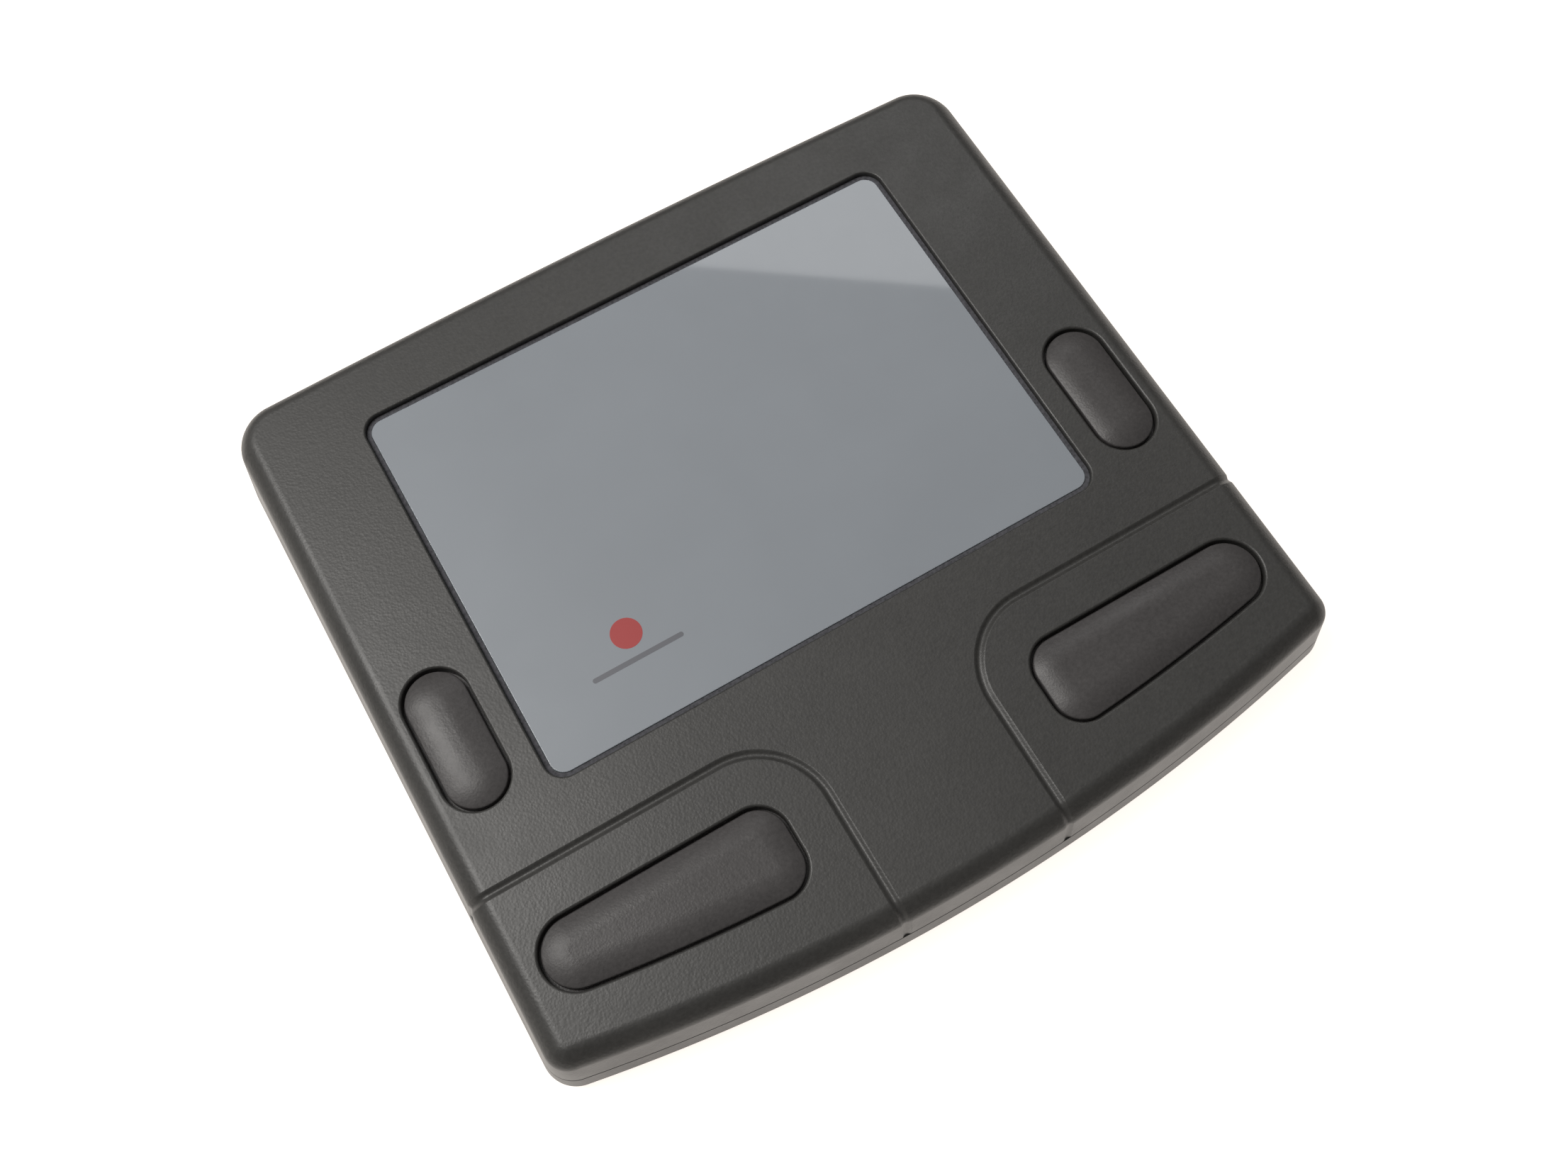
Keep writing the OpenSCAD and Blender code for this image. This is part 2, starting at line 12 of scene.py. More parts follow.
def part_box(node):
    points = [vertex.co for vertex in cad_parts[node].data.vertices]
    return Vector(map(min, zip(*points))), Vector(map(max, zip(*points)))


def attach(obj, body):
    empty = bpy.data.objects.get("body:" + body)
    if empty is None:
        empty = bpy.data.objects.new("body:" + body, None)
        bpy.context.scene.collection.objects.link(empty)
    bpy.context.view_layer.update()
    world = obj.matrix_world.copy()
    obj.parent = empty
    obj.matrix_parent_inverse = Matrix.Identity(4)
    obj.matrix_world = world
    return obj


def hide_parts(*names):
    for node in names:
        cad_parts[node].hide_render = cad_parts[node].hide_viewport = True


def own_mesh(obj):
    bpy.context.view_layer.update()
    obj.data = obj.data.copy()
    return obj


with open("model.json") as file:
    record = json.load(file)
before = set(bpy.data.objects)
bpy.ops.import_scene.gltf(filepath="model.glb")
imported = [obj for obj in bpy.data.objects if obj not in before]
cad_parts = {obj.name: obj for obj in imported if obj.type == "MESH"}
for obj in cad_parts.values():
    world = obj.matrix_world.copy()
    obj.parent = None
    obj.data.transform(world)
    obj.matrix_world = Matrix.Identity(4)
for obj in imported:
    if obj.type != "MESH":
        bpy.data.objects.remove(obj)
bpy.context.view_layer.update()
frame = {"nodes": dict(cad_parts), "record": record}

MM = 0.001


def node_box(node):
    """Lowest and highest corner of a CAD node, in millimetres."""
    low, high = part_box(node)
    return low / MM, high / MM


# ---------------------------------------------------------------- sizes, from the CAD nodes

top_low, top_high = node_box("top_shell")
pad_low, pad_high = node_box("pad_overlay")
board_low, board_high = node_box("sensor_board")
side_low, side_high = node_box("key_side_left")
socket_low, socket_high = node_box("usb_shell")
label_low, label_high = node_box("label_plate")

TOP = top_high.z
SEAM = top_low.z  # lower edge of the top shell
BASE = node_box("bottom_shell")[0].z
WALL = 1.8
ROOF = TOP - WALL  # inside of the top face
PART_LINE = 5.0  # top of the bottom shell's wall
HALF_W = 62.77  # at the foot of the leaning walls, as are the next two
REAR_Y = 57.6
FRONT_Y = -57.17
FRONT_BOW = 295.0  # radii of the bowed front and rear
REAR_BOW = 2100.0
FRONT_CORNER = 5.0
REAR_CORNER = 8.2
LEAN = math.radians(9)  # of the front and side walls
REAR_ROUND = 2.5
EDGE_ARCS = ((2.6, 25), (5.3, 48), (1.8, 81))  # radius, angle turned at its end
BASE_ROUND = 1.0
SEAM_EDGE = 0.1  # rounding of both shells where they meet
PAD_CORNER = 2.2
PAD_GAP = 0.75
PAD_W = pad_high.x - pad_low.x
PAD_D = pad_high.y - pad_low.y
PAD_Y = (pad_high.y + pad_low.y) / 2
KEY_GAP = 0.4
FLANGE = 0.75  # how far a key's hidden flange stands out past its opening
FLANGE_T = 0.9
FLANGE_LOW = ROOF - 0.05 - FLANGE_T
KEY_LEG_LOW = side_low.z
KEY_RIM = TOP - 0.25
KEY_TOP = side_high.z
SIDE_KEY_X = (side_low.x + side_high.x) / 2
SIDE_KEY_Y = (side_low.y + side_high.y) / 2
SIDE_KEY_W = side_high.x - side_low.x - 2 * FLANGE
SIDE_KEY_D = side_high.y - side_low.y - 2 * FLANGE
GROOVE_W = 1.5
GROOVE_DEEP = 0.38
GROOVE_X = 12.9  # its run to the front edge
GROOVE_Y = -24.9  # its run to the side edge
GROOVE_BEND = 11.0

WELD = 0.0008  # points closer than this become one
JOIN = 0.1  # how far joined solids run into each other


# ---------------------------------------------------------------- outlines


def arc(centre, radius, start, end, steps):
    """Points of an arc, both ends included; angles in degrees."""
    points = []
    for k in range(steps + 1):
        a = math.radians(start + (end - start) * k / steps)
        points.append((centre[0] + radius * math.cos(a), centre[1] + radius * math.sin(a)))
    return points


def case_outline(in_side, in_front, in_rear, corner_steps=22, bow_steps=36):
    """Outline of the case at its foot, moved in by separate distances at the sides, front and
    rear."""
    xs = HALF_W - in_side
    rf, rr = FRONT_BOW - in_front, REAR_BOW - in_rear
    cf, cr = max(FRONT_CORNER - in_side, 1.0), max(REAR_CORNER - in_side, 1.0)
    yf, yr = FRONT_BOW + FRONT_Y, REAR_Y - REAR_BOW
    xf, xr = xs - cf, xs - cr
    af = math.degrees(math.asin(xf / (rf - cf)))
    ar = math.degrees(math.asin(xr / (rr - cr)))
    cyf = yf - math.sqrt((rf - cf) ** 2 - xf**2)
    cyr = yr + math.sqrt((rr - cr) ** 2 - xr**2)
    return (
        arc((xf, cyf), cf, af - 90, 0, corner_steps)
        + arc((xr, cyr), cr, 0, 90 - ar, corner_steps)
        + arc((0, yr), rr, 90 - ar, 90 + ar, bow_steps)[1:-1]
        + arc((-xr, cyr), cr, 90 + ar, 180, corner_steps)
        + arc((-xf, cyf), cf, 180, 270 - af, corner_steps)
        + arc((0, yf), rf, 270 - af, 270 + af, bow_steps)[1:-1]
    )


def drawn_in(t, r):
    """How far a rounded edge of radius r has drawn in, a distance t from its flat."""
    return 0.0 if t >= r else r - math.sqrt(r * r - (r - t) ** 2)


def leant_in(z):
    """How far a leaning wall stands in from its foot, at height z."""
    return (z - BASE) * math.tan(LEAN)


def edge_section():
    """Section of the top edge, as arcs that follow on from each other. Each point gives its
    distance out from the flat face, its depth below it, and how far the surface has turned."""
    points = [(0.0, 0.0, 0.0)]
    for radius, end in EDGE_ARCS:
        x, t, start = points[-1]
        for k in range(1, 8):
            a = start + (math.radians(end) - start) * k / 7
            points.append((x + radius * (math.sin(a) - math.sin(start)),
                           t + radius * (math.cos(start) - math.cos(a)), a))
    return points


EDGE = edge_section()
FACE_IN = leant_in(TOP - EDGE[-1][1]) + EDGE[-1][0]


def cavity(more):
    """Inside outline of both shells, moved in by a further distance."""
    return case_outline(WALL + 1.35 + more, WALL + 1.5 + more, WALL + 0.2 + more, 10, 14)


def round_rect(w, d, r, at=(0.0, 0.0), steps=12):
    x, y = w / 2 - r, d / 2 - r
    return (
        arc((at[0] + x, at[1] - y), r, -90, 0, steps)
        + arc((at[0] + x, at[1] + y), r, 0, 90, steps)
        + arc((at[0] - x, at[1] + y), r, 90, 180, steps)
        + arc((at[0] - x, at[1] - y), r, 180, 270, steps)
    )


def window_outline(grow):
    w, d = PAD_W + 2 * (PAD_GAP + grow), PAD_D + 2 * (PAD_GAP + grow)
    return round_rect(w, d, PAD_CORNER + PAD_GAP + grow, (0.0, PAD_Y))


def side_key_outline(grow):
    w, d = SIDE_KEY_W + 2 * grow, SIDE_KEY_D + 2 * grow
    return round_rect(w, d, w / 2 - 0.01, (SIDE_KEY_X, SIDE_KEY_Y), 20)


KEY_OUTER, KEY_OUTER_R = Vector((-51.4, -37.1)), 5.15
KEY_REAR, KEY_FRONT, KEY_INNER_R = Vector((-24.2, -36.55)), Vector((-24.2, -40.75)), 4.6
KEY_BOW = 280.0


def bow_centre():
    """Centre of the front keys' bowed side, which touches both end circles from outside."""
    run = KEY_FRONT - KEY_OUTER
    d = run.length
    u = run / d
    r1, r2 = KEY_BOW - KEY_OUTER_R, KEY_BOW - KEY_INNER_R
    along = (r1**2 - r2**2 + d * d) / (2 * d)
    out = math.sqrt(r1**2 - along**2)
    return KEY_OUTER + along * u + out * Vector((-u.y, u.x))


def bearing(start, end):
    return math.degrees(math.atan2(end.y - start.y, end.x - start.x)) % 360


def front_key_outline(grow):
    centre = bow_centre()
    a0, a1 = bearing(centre, KEY_OUTER), bearing(centre, KEY_FRONT)
    return (
        arc(KEY_REAR, KEY_INNER_R + grow, 0, 90, 14)
        + arc(KEY_OUTER, KEY_OUTER_R + grow, 90, a0, 26)
        + arc(centre, KEY_BOW + grow, a0, a1, 10)[1:-1]
        + arc(KEY_FRONT, KEY_INNER_R + grow, a1, 360, 14)
    )


def on_side(side, outline):
    """An outline drawn on the left, as it is for side -1, or mirrored to the right for side 1,
    still anticlockwise."""
    return outline if side < 0 else [(-x, y) for x, y in reversed(outline)]


# ---------------------------------------------------------------- meshes


def ring(outline, z):
    return [(x, y, z) for x, y in outline]


def loft(name, rings):
    """Closed solid through rings that have equal numbers of points."""
    bm = bmesh.new()
    rows = [[bm.verts.new(Vector(p) * MM) for p in r] for r in rings]
    n = len(rows[0])
    for low, high in zip(rows, rows[1:]):
        for k in range(n):
            bm.faces.new((low[k], low[(k + 1) % n], high[(k + 1) % n], high[k]))
    bm.faces.new(list(reversed(rows[0])))
    bm.faces.new(rows[-1])
    bmesh.ops.recalc_face_normals(bm, faces=bm.faces)
    mesh = bpy.data.meshes.new(name)
    bm.to_mesh(mesh)
    bm.free()
    obj = bpy.data.objects.new(name, mesh)
    bpy.context.scene.collection.objects.link(obj)
    return obj


def prism(outline, low, high, name="cutter"):
    return loft(name, [ring(outline, low), ring(outline, high)])


def disc(at, radius, low, high, steps=48, name="cutter"):
    return prism(arc(at, radius, 0, 360, steps)[:-1], low, high, name)


def block(low, high, name="cutter"):
    outline = [(low[0], low[1]), (high[0], low[1]), (high[0], high[1]), (low[0], high[1])]
    return prism(outline, low[2], high[2], name)


def flared(outline_at, low, surface, lip, up=1):
    """Cutter whose walls open out where they leave the surface, so the edge it leaves is
    rounded. outline_at(grow) gives its outline; up is 1 for a hole that opens upwards."""
    rings = [ring(outline_at(0), low), ring(outline_at(0), surface - up * lip)]
    last = math.radians(80)
    steps = 6
    for k in range(1, steps + 1):
        a = last * k / steps
        z = surface - up * lip * (1 - math.sin(a))
        rings.append(ring(outline_at(lip * (1 - math.cos(a))), z))
    over = 0.04
    rise = lip * (1 - math.sin(last)) + over
    grow = lip * (1 - math.cos(last)) + rise * math.tan(last)
    rings.append(ring(outline_at(grow), surface + up * over))
    return loft("cutter", rings)


def drop(obj):
    mesh = obj.data
    bpy.data.objects.remove(obj)
    bpy.data.meshes.remove(mesh)


def combine(obj, others, operation="DIFFERENCE"):
    """Cuts the others from obj, or joins them to it, one at a time, and deletes them."""
    for other in others:
        m = obj.modifiers.new("cut", "BOOLEAN")
        m.operation, m.object, m.solver = operation, other, "MANIFOLD"
        apply_modifiers(obj)
        drop(other)
    return obj


def apply_modifiers(obj):
    old = obj.data
    graph = bpy.context.evaluated_depsgraph_get()
    obj.data = bpy.data.meshes.new_from_object(obj.evaluated_get(graph))
    obj.modifiers.clear()
    obj.data.name = obj.name
    bpy.data.meshes.remove(old)


def tidy(obj):
    """Welds the slivers that cutting leaves, then smooths all but the real edges."""
    bm = bmesh.new()
    bm.from_mesh(obj.data)
    bmesh.ops.remove_doubles(bm, verts=bm.verts, dist=WELD * MM)
    bmesh.ops.dissolve_degenerate(bm, edges=bm.edges, dist=WELD * MM)
    bm.to_mesh(obj.data)
    bm.free()
    obj.data.shade_smooth()
    obj.data.set_sharp_from_angle(angle=math.radians(38))
    m = obj.modifiers.new("weighted normals", "WEIGHTED_NORMAL")
    m.mode, m.keep_sharp, m.weight = "FACE_AREA", True, 60


def piece(obj, body, material, slot, *nodes):
    """Puts a finished piece on its body, with its material and the CAD nodes it stands for."""
    obj.data.materials.clear()
    obj.data.materials.append(material)
    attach(obj, body)
    if nodes:
        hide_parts(*nodes)


# ---------------------------------------------------------------- materials


class Nodes:
    """Short names for building a node tree."""

    def __init__(self, name):
        self.material = bpy.data.materials.new(name)
        self.material.use_nodes = True
        self.tree = self.material.node_tree
        self.shader = self.tree.nodes["Principled BSDF"]
        self.position = self.add("ShaderNodeTexCoord").outputs["Object"]

    def add(self, kind, **settings):
        node = self.tree.nodes.new(kind)
        for key, value in settings.items():
            setattr(node, key, value)
        return node

    def join(self, out, socket):
        self.tree.links.new(out, socket)

    def feed(self, name, out):
        """Drives one of the shader's own inputs."""
        self.join(out, self.shader.inputs[name])

    def set(self, **values):
        for key, value in values.items():
            self.shader.inputs[key.replace("_", " ")].default_value = value

    def noise(self, size_mm, detail=3.0, rough=0.55, seed=0.0, squeeze=(1, 1, 1)):
        """Noise whose features are about size_mm across."""
        mapping = self.add("ShaderNodeMapping")
        mapping.inputs["Location"].default_value = (seed, seed * 1.7, seed * 0.6)
        mapping.inputs["Scale"].default_value = squeeze
        self.join(self.position, mapping.inputs["Vector"])
        node = self.add("ShaderNodeTexNoise")
        node.inputs["Scale"].default_value = 1 / (size_mm * MM)
        node.inputs["Detail"].default_value = detail
        node.inputs["Roughness"].default_value = rough
        self.join(mapping.outputs["Vector"], node.inputs["Vector"])
        return node.outputs["Fac"]

    def cells(self, size_mm):
        node = self.add("ShaderNodeTexVoronoi", feature="SMOOTH_F1")
        node.inputs["Scale"].default_value = 1 / (size_mm * MM)
        node.inputs["Smoothness"].default_value = 0.6
        self.join(self.position, node.inputs["Vector"])
        return node.outputs["Distance"]

    def math(self, operation, a, b):
        node = self.add("ShaderNodeMath", operation=operation)
        for socket, value in zip(node.inputs, (a, b)):
            if hasattr(value, "links"):
                self.join(value, socket)
            else:
                socket.default_value = value
        return node.outputs["Value"]

    def spread(self, value, low, high, from_low=0.3, from_high=0.7):
        node = self.add("ShaderNodeMapRange")
        node.inputs["From Min"].default_value = from_low
        node.inputs["From Max"].default_value = from_high
        node.inputs["To Min"].default_value = low
        node.inputs["To Max"].default_value = high
        self.join(value, node.inputs["Value"])
        return node.outputs["Result"]

    def colours(self, value, low, high):
        node = self.add("ShaderNodeMix", data_type="RGBA")
        node.inputs["A"].default_value = (*low, 1)
        node.inputs["B"].default_value = (*high, 1)
        self.join(value, node.inputs["Factor"])
        return node.outputs["Result"]

    def bump(self, height, strength, depth_mm, under=None):
        node = self.add("ShaderNodeBump")
        node.inputs["Strength"].default_value = strength
        node.inputs["Distance"].default_value = depth_mm * MM
        self.join(height, node.inputs["Height"])
        if under is not None:
            self.join(under, node.inputs["Normal"])
        return node.outputs["Normal"]


def scaled(colour, factor):
    return tuple(c * factor for c in colour)


MOTTLE = 0.22  # how far moulded plastic strays from its colour


def moulded(name, colour, rough, grain_mm, grain_depth, polish=None, specular=0.58):
    """Moulded plastic: a spark-eroded grain, faint cloudy variation of colour and gloss, and,
    where polish gives (x, y, radius) in millimetres, a smoother patch worn by a finger."""
    n = Nodes(name)
    cloud = n.noise(28, 4, 0.6, 0.3)
    speck = n.noise(grain_mm * 1.6, 2, 0.5, 1.1)
    shade = n.math("ADD", n.math("MULTIPLY", cloud, 0.4), n.math("MULTIPLY", speck, 0.6))
    pale, dark = scaled(colour, 1 + MOTTLE), scaled(colour, 1 - MOTTLE)
    n.feed("Base Color", n.colours(n.spread(shade, 0, 1), dark, pale))
    gloss = n.spread(n.noise(9, 5, 0.65, 2.4), rough - 0.04, rough + 0.05)
    if polish:
        spot = n.add("ShaderNodeVectorMath", operation="DISTANCE")
        n.join(n.position, spot.inputs[0])
        spot.inputs[1].default_value = (polish[0] * MM, polish[1] * MM, KEY_TOP * MM)
        worn = n.spread(spot.outputs["Value"], 0.09, 0.0, 0.0, polish[2] * MM)
        gloss = n.math("SUBTRACT", gloss, worn)
    n.feed("Roughness", gloss)
    coarse = n.bump(n.cells(grain_mm), 0.8, grain_depth)
    fine = n.bump(n.noise(grain_mm * 0.45, 3, 0.6, 0.9), 0.35, grain_depth, coarse)
    n.feed("Normal", fine)
    n.set(Specular_IOR_Level=specular)
    return n.material


def film(name, colour, rough, coat, texture_mm=0.35):
    """Printed plastic film: a fine even texture under a thin clear hard coat."""
    n = Nodes(name)
    cloud = n.noise(18, 3, 0.55, 0.7)
    dark, pale = scaled(colour, 0.975), scaled(colour, 1.025)
    n.feed("Base Color", n.colours(n.spread(cloud, 0, 1), dark, pale))
    n.feed("Roughness", n.spread(n.noise(6, 4, 0.6, 1.9), rough - 0.03, rough + 0.04))
    n.feed("Normal", n.bump(n.noise(texture_mm, 3, 0.6, 0.2), 0.25, 0.02))
    n.set(Coat_Weight=coat, Coat_Roughness=0.035, Coat_IOR=1.5)
    return n.material


def metal(name, colour, rough, brush=(1, 1, 1)):
    """Plated metal; brush squeezes its grain along an axis."""
    n = Nodes(name)
    grain = n.noise(0.8, 5, 0.65, 0.5, brush)
    n.feed("Base Color", n.colours(n.spread(grain, 0, 1), scaled(colour, 0.86), colour))
    n.feed("Roughness", n.spread(grain, rough - 0.07, rough + 0.1))
    n.feed("Normal", n.bump(grain, 0.2, 0.02))
    n.set(Metallic=1.0)
    return n.material


def circuit_board(name, colour):
    """Solder mask with faint tracks under it."""
    n = Nodes(name)
    brick = n.add("ShaderNodeTexBrick")
    brick.inputs["Scale"].default_value = 1 / (2.6 * MM)
    brick.inputs["Mortar Size"].default_value = 0.045
    for key, factor in (("Color1", 1.0), ("Color2", 0.92), ("Mortar", 1.5)):
        brick.inputs[key].default_value = (*scaled(colour, factor), 1)
    n.join(n.position, brick.inputs["Vector"])
    n.feed("Base Color", brick.outputs["Color"])
    n.feed("Normal", n.bump(brick.outputs["Fac"], 0.3, 0.03))
    n.feed("Roughness", n.spread(n.noise(3), 0.26, 0.4))
    return n.material


def foam(name, colour):
    """Closed-cell foam, pitted all over."""
    n = Nodes(name)
    pores = n.cells(0.5)
    n.feed("Base Color", n.colours(n.spread(pores, 0, 1, 0.1, 0.7), colour, scaled(colour, 1.7)))
    n.feed("Normal", n.bump(pores, 0.8, 0.15))
    n.set(Roughness=0.95)
    return n.material


def rubber(name, colour):
    """Dull rubber with a little dust on it."""
    n = Nodes(name)
    dust = n.noise(4, 5, 0.7, 0.8)
    n.feed("Base Color", n.colours(n.spread(dust, 0, 1, 0.45, 0.8), colour, scaled(colour, 2.0)))
    n.feed("Roughness", n.spread(dust, 0.62, 0.85))
    n.feed("Normal", n.bump(n.noise(0.3, 3), 0.4, 0.05))
    return n.material


def key_plastic(name, polish=None):
    # Painted light: this is the case plastic painted paler, so that the keys come out brighter, as
    # extra light on them would make them.
    return moulded(name, (0.068, 0.064, 0.064), 0.40, 0.32, 0.018, polish, 0.38)


finish = {
    "case_plastic": moulded("case plastic", (0.046, 0.045, 0.043), 0.40, 0.36, 0.022),
    "key_plastic": key_plastic("key plastic"),
    "pad_film": film("pad film", (0.272, 0.298, 0.332), 0.42, 0.9),
    "adhesive": film("adhesive sheet", (0.7, 0.69, 0.6), 0.6, 0.0),
    "board": circuit_board("solder mask", (0.015, 0.11, 0.05)),
    "chip_plastic": moulded("chip plastic", (0.018, 0.018, 0.018), 0.5, 0.3, 0.02),
    "tinned": metal("tin plate", (0.72, 0.72, 0.73), 0.3),
    "ceramic": moulded("ceramic", (0.36, 0.22, 0.12), 0.45, 0.3, 0.01),
    "plated_steel": metal("nickel plate", (0.66, 0.65, 0.63), 0.24, (1, 12, 1)),
    "gold_contact": metal("gold flash", (0.83, 0.62, 0.26), 0.22),
    "ribbon_film": film("ribbon film", (0.62, 0.6, 0.52), 0.35, 0.3),
    "socket_plastic": moulded("socket plastic", (0.72, 0.7, 0.63), 0.5, 0.3, 0.01),
    "plunger_plastic": moulded("plunger plastic", (0.6, 0.56, 0.46), 0.45, 0.3, 0.01),
    "screw_steel": metal("zinc plate", (0.55, 0.55, 0.57), 0.32),
    # Dark foam, partly its own colour and partly painted shade: where it lies in the gap round the
    # touch surface, it is a dark sheet standing for the shade in that gap.
    "foam": foam("closed-cell foam", (0.055, 0.055, 0.062)),
    "label_film": film("label film", (0.55, 0.56, 0.57), 0.45, 0.2, 0.2),
    "foot_rubber": rubber("foot rubber", (0.025, 0.025, 0.026)),
}

# The pieces that stay as the CAD made them only need their finish.
for part in frame["record"]["subparts"]:
    obj = frame["nodes"][part["node"]]
    obj.data.materials.clear()
    obj.data.materials.append(finish.get(part["material_slot"], finish["chip_plastic"]))


# ---------------------------------------------------------------- top shell


def rounded_mass(name):
    """The top shell's outside: walls that lean in, and a rounded edge all round its face."""
    edge = SEAM_EDGE
    rings = []
    for a in (0, 30, 60, 90):
        rad = math.radians(a)
        z = SEAM + edge * (1 - math.cos(rad))
        inset = edge * (1 - math.sin(rad))
        rings.append(ring(case_outline(inset + leant_in(z), inset + leant_in(z), inset), z))
    for x, t, _ in reversed(EDGE):
        inset = FACE_IN - x
        rings.append(ring(case_outline(inset, inset, drawn_in(t, REAR_ROUND)), TOP - t))
    return loft(name, rings)


def edge_path(at, outward):
    """From the edge of the top face down to the foot of the wall: points and normals. outward is
    the level direction in which the wall faces."""
    path = []
    out = Vector((outward[0], outward[1], 0))
    up = Vector((0, 0, 1))
    for x, t, a in EDGE:
        path.append((Vector((*at, TOP)) + out * x - up * t, out * math.sin(a) + up * math.cos(a)))
    at, normal = path[-1]
    down = out * math.sin(LEAN) - up * math.cos(LEAN)
    height = (at.z - SEAM) / math.cos(LEAN)
    path += [(at + down * height / 2, normal), (at + down * (height + 1.2), normal)]
    return path


def groove_path():
    """Points on the surface along the right-hand groove, each with the surface's normal."""
    side_at = HALF_W - FACE_IN
    front_at = FRONT_BOW + FRONT_Y - math.sqrt((FRONT_BOW - FACE_IN) ** 2 - GROOVE_X**2)
    up = Vector((0, 0, 1))
    path = edge_path((side_at, GROOVE_Y), (1, 0))[::-1]
    cx, cy = GROOVE_X + GROOVE_BEND, GROOVE_Y - GROOVE_BEND
    path.append((Vector(((side_at + cx) / 2, GROOVE_Y, TOP)), up))
    path += [(Vector((x, y, TOP)), up) for x, y in arc((cx, cy), GROOVE_BEND, 90, 180, 24)]
    path.append((Vector((GROOVE_X, (cy + front_at) / 2, TOP)), up))
    return path + edge_path((GROOVE_X, front_at), (0, -1))


def groove_cutter(side):
    """Sweeps a soft V along the groove's path, shallower where it runs down the walls; side is
    1 for the right and -1 for the left."""
    half = GROOVE_W / 2 * 1.15
    path = groove_path()
    rings = []
    for k, (at, normal) in enumerate(path):
        along = (path[min(k + 1, len(path) - 1)][0] - path[max(k - 1, 0)][0]).normalized()
        up = (normal - along * normal.dot(along)).normalized()
        across = along.cross(up)
        steep = min(1, (1 - normal.z) / 0.6)
        deep = GROOVE_DEEP * (1 - 0.35 * steep)
        section = []
        for j in range(13):
            u = -half + 2 * half * j / 12
            section.append((u, 0.012 - deep * 0.5 * (1 + math.cos(math.pi * u / half))))
        section += [(half * 1.12, 0.35), (-half * 1.12, 0.35)]
        points = [at + across * u + up * v for u, v in section]
        rings.append([(side * p.x, p.y, p.z) for p in points])
    return loft("cutter", rings)


CASE_SCREWS = [(53, 48.5), (-53, 48.5), (14.5, -47.6), (-14.5, -47.6)]
BOARD_SCREWS = [(51.6, 9.8), (-51.6, 9.8), (31, -29.4), (-31, -29.4)]
LOCATORS = [(x, PAD_Y + y) for x in (-30, 30) for y in (-33, 33)]
BOSS_R, PILOT_R, PILOT_DEEP = 2.6, 1.25, 5
LOCATOR_R = 1.0
POCKET_GAP = 0.2  # round the sensor board, which sits in a pocket in the roof
TAIL_HALF_W = 8.3  # of the pocket for the part of the board that carries the socket
WINDOW_EASE, OPENING_EASE = 0.32, 0.4  # rounding of the edges of the openings in the face
PAST = 1  # how far a cutter runs past what it cuts


def make_top():
    shell = rounded_mass("case_top")
    combine(shell, [prism(cavity(0), SEAM - PAST, ROOF)])
    boss_low = SEAM + 0.05
    combine(shell, [disc(at, BOSS_R, boss_low, ROOF + 0.2) for at in CASE_SCREWS], "UNION")
    cut_low, pocket_top = ROOF - PAST, board_high.z
    half_w, half_d = board_high.x + POCKET_GAP, PAD_Y - board_low.y + POCKET_GAP
    tail_end = board_high.y + POCKET_GAP
    combine(
        shell,
        [
            block((-half_w, PAD_Y - half_d, cut_low), (half_w, PAD_Y + half_d, pocket_top)),
            block((-TAIL_HALF_W, PAD_Y, cut_low), (TAIL_HALF_W, tail_end, pocket_top)),
            flared(window_outline, cut_low, TOP, WINDOW_EASE),
        ],
    )
    for side in (-1, 1):
        cutters = [
            flared(lambda g, o=outline_at: on_side(side, o(g)), cut_low, TOP, OPENING_EASE)
            for outline_at in (front_key_outline, side_key_outline)
        ]
        combine(shell, cutters + [groove_cutter(side)])
    combine(shell, [rear_cutout()])
    pilots = [disc(at, PILOT_R, boss_low - PAST, boss_low + PILOT_DEEP, 24) for at in CASE_SCREWS]
    combine(shell, pilots)
    pin_low = board_low.z - 0.8
    pins = [disc(at, LOCATOR_R, pin_low, pocket_top + JOIN, 24) for at in LOCATORS]
    combine(shell, pins, "UNION")
    tidy(shell)
    piece(shell, "case", finish["case_plastic"], "case_plastic", "top_shell")


def rear_cutout():
    """Cutter for the socket's opening in the rear wall, its outer edge eased."""
    gap = 0.6
    w = socket_high.x - socket_low.x + gap
    h = socket_high.z - socket_low.z + gap
    z = (socket_high.z + socket_low.z) / 2
    inside, outside = REAR_Y - 4, REAR_Y
    ease = 0.35
    rings = []
    for y, grow in [(inside, 0), (outside - ease, 0), (outside - ease * 0.4, ease * 0.25),
                    (outside, ease), (outside + 0.6, ease + 0.9)]:
        outline = round_rect(w + 2 * grow, h + 2 * grow, 0.5 + grow, (0, z), 6)
        rings.append([(-x, y, v) for x, v in outline])
    return loft("cutter", rings)


make_top()


# ---------------------------------------------------------------- bottom shell

FLOOR = BASE + WALL
FEET = [(47, 41), (-47, 41), (51, -39), (-51, -39)]
PILLARS = [(30, 2), (-30, 2), (30, 30), (-30, 30), (0, 16)]
SCREW_POST_R, BOARD_POST_R, PILLAR_R = 3.4, 2.4, 2.5
BOARD_POST_TOP, PILLAR_TOP = 4.2, 9.2
RIB_HALF_W, RIB_HIGH = 0.5, 1.5
HEAD_R, SHANK_R, BOARD_PILOT_R, FOOT_POCKET_R = 2.5, 1.4, 1.0, 5.15
LIP_GAP = 0.15  # between the bottom shell's lip and the top shell's wall


def underside_hole(at, radius, deep, ease, steps):
    """Round recess cutter that opens downwards, its edge eased."""
    def outline_at(grow):
        return arc(at, radius + grow, 0, 360, steps)[:-1]

    return flared(outline_at, BASE + deep, BASE, ease, -1)


